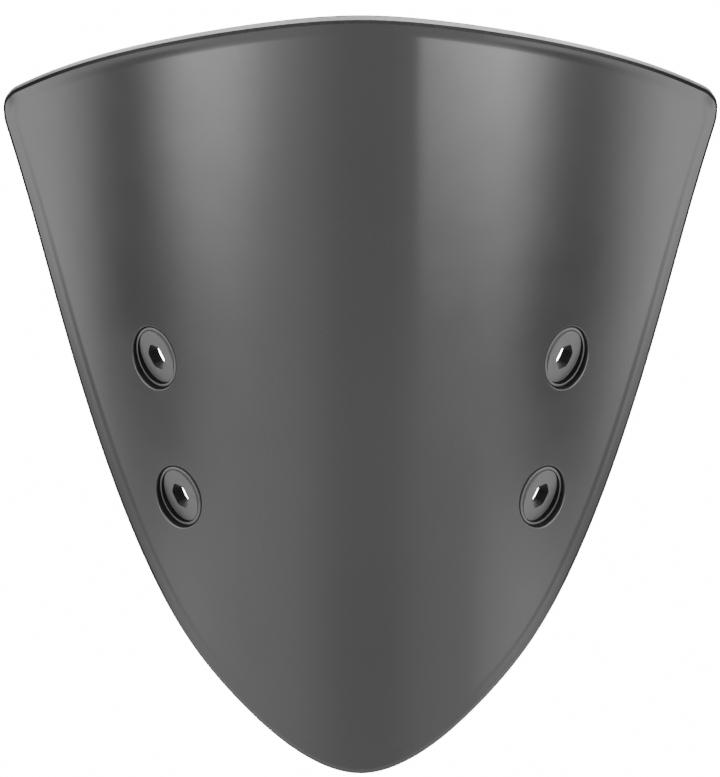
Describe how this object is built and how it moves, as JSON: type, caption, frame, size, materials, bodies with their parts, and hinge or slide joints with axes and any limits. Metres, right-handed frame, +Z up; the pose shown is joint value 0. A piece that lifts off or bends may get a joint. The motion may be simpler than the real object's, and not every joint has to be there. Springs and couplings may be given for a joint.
{
  "type": "motorcycle windshield screen",
  "caption": "Curved tinted shield-shaped windshield screen with recessed hollow hexagon bushes in bezels, rubber seals and ring nuts at its fixing points.",
  "frame": {"origin": "centre of the four fixings, halfway through their depth, on the plane of symmetry", "axes": "+X to the right seen from the front, -Y forward, +Z up along the sheet's straight lines; the screen leans back about 35 to 45 degrees on the motorcycle"},
  "size_m": [0.3066, 0.129, 0.3263],
  "materials": {
    "tinted_screen": "glossy smoke-tinted plastic, almost opaque",
    "satin_alloy": "satin grey anodised",
    "nut_alloy": "turned, dark anodised",
    "seal_rubber": "matt black rubber"
  },
  "bodies": {
    "root": {"screen": "tinted_screen", "upper_left_rear_seal": "seal_rubber", "upper_left_ring_nut": "nut_alloy", "upper_right_rear_seal": "seal_rubber", "upper_right_ring_nut": "nut_alloy", "lower_left_rear_seal": "seal_rubber", "lower_left_ring_nut": "nut_alloy", "lower_right_rear_seal": "seal_rubber", "lower_right_ring_nut": "nut_alloy"},
    "upper_left_carrier": {"upper_left_bezel": "satin_alloy", "upper_left_front_seal": "seal_rubber"},
    "upper_left_turner": {"upper_left_bush": "satin_alloy"},
    "upper_right_carrier": {"upper_right_bezel": "satin_alloy", "upper_right_front_seal": "seal_rubber"},
    "upper_right_turner": {"upper_right_bush": "satin_alloy"},
    "lower_left_carrier": {"lower_left_bezel": "satin_alloy", "lower_left_front_seal": "seal_rubber"},
    "lower_left_turner": {"lower_left_bush": "satin_alloy"},
    "lower_right_carrier": {"lower_right_bezel": "satin_alloy", "lower_right_front_seal": "seal_rubber"},
    "lower_right_turner": {"lower_right_bush": "satin_alloy"}
  },
  "joints": [
    {"name": "upper_left_withdraw", "type": "slide", "parent": "root", "child": "upper_left_carrier", "axis": [-0.7639, -0.62, -0.179], "range_m": [0, 0.003]},
    {"name": "upper_left_turn", "type": "hinge", "parent": "upper_left_carrier", "child": "upper_left_turner", "pos_m": [-0.085, 0.0028, 0.0287], "axis": [-0.7639, -0.62, -0.179], "range_deg": [0, 720]},
    {"name": "upper_right_withdraw", "type": "slide", "parent": "root", "child": "upper_right_carrier", "axis": [0.7639, -0.62, -0.179], "range_m": [0, 0.003]},
    {"name": "upper_right_turn", "type": "hinge", "parent": "upper_right_carrier", "child": "upper_right_turner", "pos_m": [0.085, 0.0028, 0.0287], "axis": [0.7639, -0.62, -0.179], "range_deg": [0, 720]},
    {"name": "lower_left_withdraw", "type": "slide", "parent": "root", "child": "lower_left_carrier", "axis": [-0.7639, -0.62, -0.179], "range_m": [0, 0.003]},
    {"name": "lower_left_turn", "type": "hinge", "parent": "lower_left_carrier", "child": "lower_left_turner", "pos_m": [-0.0756, -0.0064, -0.0298], "axis": [-0.7639, -0.62, -0.179], "range_deg": [0, 720]},
    {"name": "lower_right_withdraw", "type": "slide", "parent": "root", "child": "lower_right_carrier", "axis": [0.7639, -0.62, -0.179], "range_m": [0, 0.003]},
    {"name": "lower_right_turn", "type": "hinge", "parent": "lower_right_carrier", "child": "lower_right_turner", "pos_m": [0.0756, -0.0064, -0.0298], "axis": [0.7639, -0.62, -0.179], "range_deg": [0, 720]}
  ],
  "couplings": [
    {"joint": "upper_left_withdraw", "follows": "upper_left_turn", "m_per_rad": 0.00023873},
    {"joint": "upper_right_withdraw", "follows": "upper_right_turn", "m_per_rad": 0.00023873},
    {"joint": "lower_left_withdraw", "follows": "lower_left_turn", "m_per_rad": 0.00023873},
    {"joint": "lower_right_withdraw", "follows": "lower_right_turn", "m_per_rad": 0.00023873}
  ]
}
